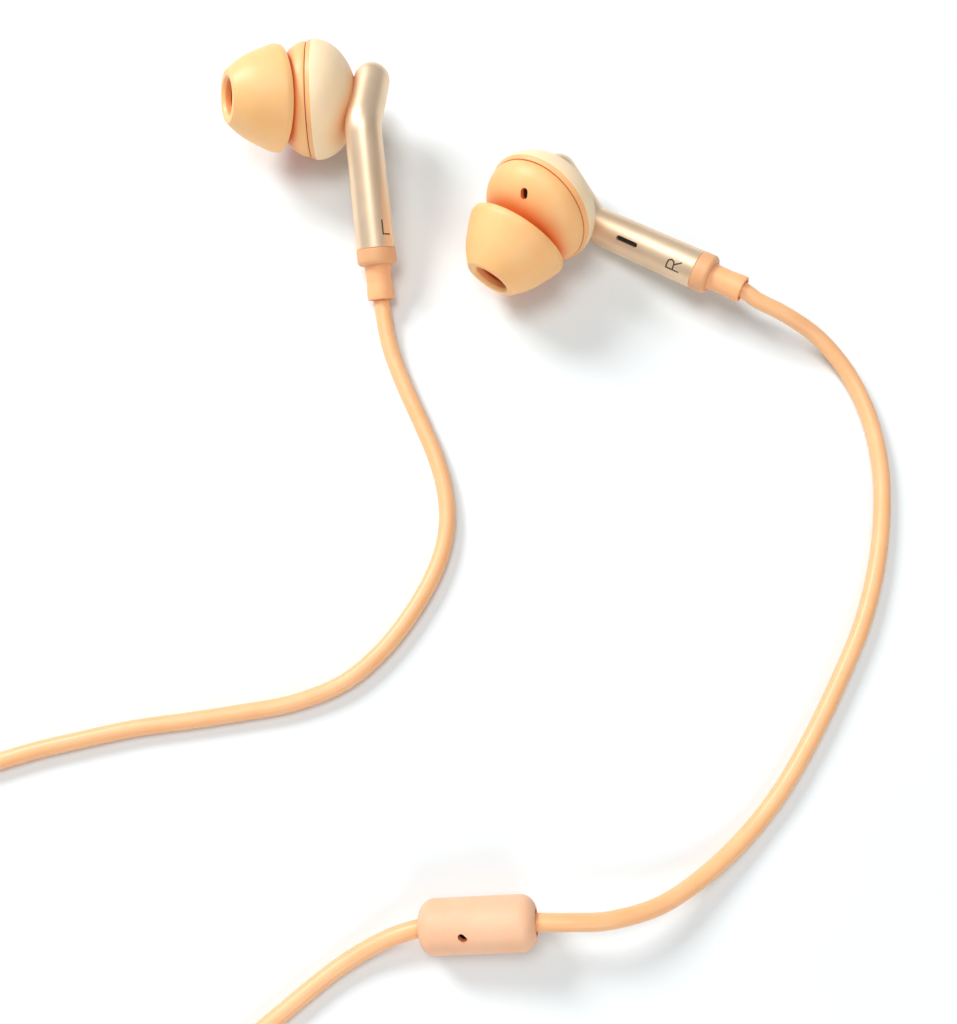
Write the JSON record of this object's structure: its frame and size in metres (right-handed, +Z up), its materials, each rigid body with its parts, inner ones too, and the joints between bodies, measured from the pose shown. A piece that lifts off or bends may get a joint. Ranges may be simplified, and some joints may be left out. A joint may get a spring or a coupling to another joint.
{
  "type": "wired earphones",
  "caption": "Wired in-ear earphones with silicone ear tips, bent metal stems, an in-line microphone capsule, a Y-split remote and a jack plug.",
  "frame": {"origin": "on the surface under the middle of the two earbuds' box", "axes": "+Z up, +X along the longest side of the two earbuds' box, with the left earbud at -X and the cords leading towards -Y"},
  "size_m": [0.1254, 0.177, 0.0146],
  "materials": {
    "silicone": "soft satin silicone, slightly translucent",
    "mesh_steel": "fine woven mesh",
    "housing_plastic": "soft-touch matt moulding",
    "black_mesh": "black",
    "seal_rubber": "matt",
    "driver_steel": "plain",
    "diaphragm_film": "thin film",
    "stem_metal": "champagne satin anodised",
    "wire_jacket": "enamelled",
    "soft_relief": "matt soft moulding",
    "cord_jacket": "smooth satin jacket",
    "tie_silicone": "matt",
    "board": "solder mask",
    "button_metal": "champagne satin",
    "contact_gold": "gold plated"
  },
  "bodies": {
    "earphones": {"left_nozzle_mesh": "mesh_steel", "left_front_housing": "housing_plastic", "left_vent_mesh": "black_mesh", "left_housing_seal": "seal_rubber", "left_driver_frame": "driver_steel", "left_driver_magnet": "driver_steel", "left_diaphragm": "diaphragm_film", "left_rear_housing": "housing_plastic", "left_stem": "stem_metal", "left_port_mesh": "black_mesh", "left_lead_wires": "wire_jacket", "left_cord_ferrule": "driver_steel", "left_collar": "soft_relief", "left_strain_relief": "soft_relief", "right_nozzle_mesh": "mesh_steel", "right_front_housing": "housing_plastic", "right_vent_mesh": "black_mesh", "right_housing_seal": "seal_rubber", "right_driver_frame": "driver_steel", "right_driver_magnet": "driver_steel", "right_diaphragm": "diaphragm_film", "right_rear_housing": "housing_plastic", "right_stem": "stem_metal", "right_port_mesh": "black_mesh", "right_lead_wires": "wire_jacket", "right_cord_ferrule": "driver_steel", "right_collar": "soft_relief", "right_strain_relief": "soft_relief", "left_leg_cord": "cord_jacket", "left_leg_coil": "cord_jacket", "right_upper_cord": "cord_jacket", "right_lower_cord": "cord_jacket", "right_leg_coil": "cord_jacket", "trunk_cord": "cord_jacket", "trunk_coil": "cord_jacket", "leg_coil_ties": "tie_silicone", "trunk_coil_tie": "tie_silicone", "capsule_top_shell": "housing_plastic", "capsule_bottom_shell": "housing_plastic", "capsule_board": "board", "capsule_microphone": "driver_steel", "remote_front_shell": "housing_plastic", "remote_rear_shell": "housing_plastic", "remote_board": "board", "remote_switches": "driver_steel", "remote_reliefs": "soft_relief", "plug_relief": "soft_relief", "plug_grip": "housing_plastic", "plug_core": "driver_steel", "plug_sleeve": "contact_gold", "plug_rings": "contact_gold", "plug_tip": "contact_gold", "plug_insulators": "black_mesh"},
    "left_tip": {"left_ear_tip": "silicone"},
    "right_tip": {"right_ear_tip": "silicone"},
    "volume_up": {"volume_up_button": "button_metal"},
    "play": {"play_button": "button_metal"},
    "volume_down": {"volume_down_button": "button_metal"}
  },
  "joints": [
    {"name": "left_tip_pull", "type": "slide", "parent": "earphones", "child": "left_tip", "axis": [-0.9069, -0.1999, 0.3709], "range_m": [0, 0.007]},
    {"name": "right_tip_pull", "type": "slide", "parent": "earphones", "child": "right_tip", "axis": [-0.5425, -0.8343, -0.0979], "range_m": [0, 0.007]},
    {"name": "volume_up_press", "type": "slide", "parent": "earphones", "child": "volume_up", "axis": [0, 0, -1], "range_m": [0, 0.0003], "stiffness_N_per_m": 800, "springref_m": -0.0004},
    {"name": "play_press", "type": "slide", "parent": "earphones", "child": "play", "axis": [0, 0, -1], "range_m": [0, 0.0003], "stiffness_N_per_m": 800, "springref_m": -0.0004},
    {"name": "volume_down_press", "type": "slide", "parent": "earphones", "child": "volume_down", "axis": [0, 0, -1], "range_m": [0, 0.0003], "stiffness_N_per_m": 800, "springref_m": -0.0004}
  ]
}
